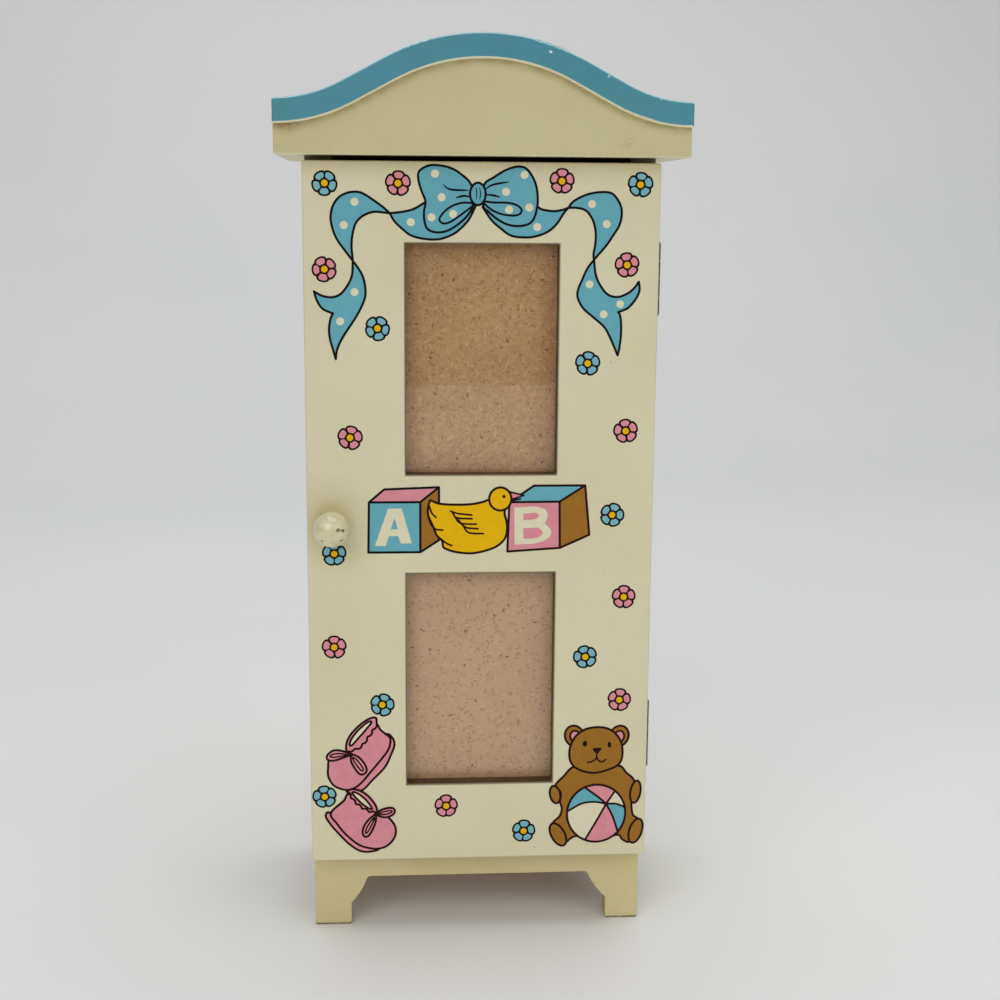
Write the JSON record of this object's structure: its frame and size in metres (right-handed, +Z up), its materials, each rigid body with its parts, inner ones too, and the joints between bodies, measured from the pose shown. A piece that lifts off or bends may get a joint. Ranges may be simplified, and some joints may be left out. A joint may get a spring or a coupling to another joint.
{
  "type": "miniature wardrobe",
  "caption": "Small painted wardrobe with a wave-topped cornice, bracket feet and a hinged door holding picture windows.",
  "frame": {"origin": "centre of the bounding box's footprint, on the surface that the feet stand on", "axes": "+X towards the hinges, -Y out of the door, +Z up"},
  "size_m": [0.1432, 0.103, 0.3282],
  "materials": {
    "cream_paint": "satin ivory paint on board",
    "blue_paint": "satin teal-blue paint on board",
    "knob_paint": "gloss cream paint",
    "hardboard": "bare brown hardboard",
    "bare_wood": "bare dowel",
    "clear_sheet": "clear polished sheet",
    "dark_metal": "dark tarnished metal",
    "brass": "dull brass",
    "steel": "plain steel"
  },
  "bodies": {
    "root": {"back_panel": "hardboard", "back_panel_brads": "steel", "bottom_panel": "cream_paint", "catch_magnet": "steel", "hanging_rail": "bare_wood", "hinge_leaf_carcass_lower": "dark_metal", "hinge_leaf_carcass_upper": "dark_metal", "hinge_pin_lower": "dark_metal", "hinge_pin_upper": "dark_metal", "hinge_screws_carcass": "steel", "pediment_back": "cream_paint", "pediment_front": "cream_paint", "plinth_back": "cream_paint", "plinth_front": "cream_paint", "plinth_left": "cream_paint", "plinth_right": "cream_paint", "roof": "blue_paint", "side_panel_left": "cream_paint", "side_panel_right": "cream_paint", "top_board": "cream_paint"},
    "door": {"catch_strike": "steel", "door_knob": "knob_paint", "door_panel": "cream_paint", "hinge_leaf_door_lower": "dark_metal", "hinge_leaf_door_upper": "dark_metal", "hinge_screws_door": "steel", "knob_screw": "steel", "turn_button_screws": "steel", "window_backer_lower": "hardboard", "window_backer_upper": "hardboard", "window_pane_lower": "clear_sheet", "window_pane_upper": "clear_sheet"},
    "turn_button_lower_left": {"turn_button_lower_left": "brass"},
    "turn_button_lower_right": {"turn_button_lower_right": "brass"},
    "turn_button_upper_left": {"turn_button_upper_left": "brass"},
    "turn_button_upper_right": {"turn_button_upper_right": "brass"}
  },
  "joints": [
    {"name": "door_hinge", "type": "hinge", "parent": "root", "child": "door", "pos_m": [0.0633, -0.02782, 0.158], "axis": [0, 0, 1], "range_deg": [0, 180]},
    {"name": "turn_button_lower_left_pivot", "type": "hinge", "parent": "door", "child": "turn_button_lower_left", "pos_m": [-0.0362, -0.02763, 0.09965], "axis": [0, 1, 0], "continuous": true},
    {"name": "turn_button_lower_right_pivot", "type": "hinge", "parent": "door", "child": "turn_button_lower_right", "pos_m": [0.0362, -0.02763, 0.09965], "axis": [0, 1, 0], "continuous": true},
    {"name": "turn_button_upper_left_pivot", "type": "hinge", "parent": "door", "child": "turn_button_upper_left", "pos_m": [-0.0362, -0.02763, 0.217], "axis": [0, 1, 0], "continuous": true},
    {"name": "turn_button_upper_right_pivot", "type": "hinge", "parent": "door", "child": "turn_button_upper_right", "pos_m": [0.0362, -0.02763, 0.217], "axis": [0, 1, 0], "continuous": true}
  ]
}
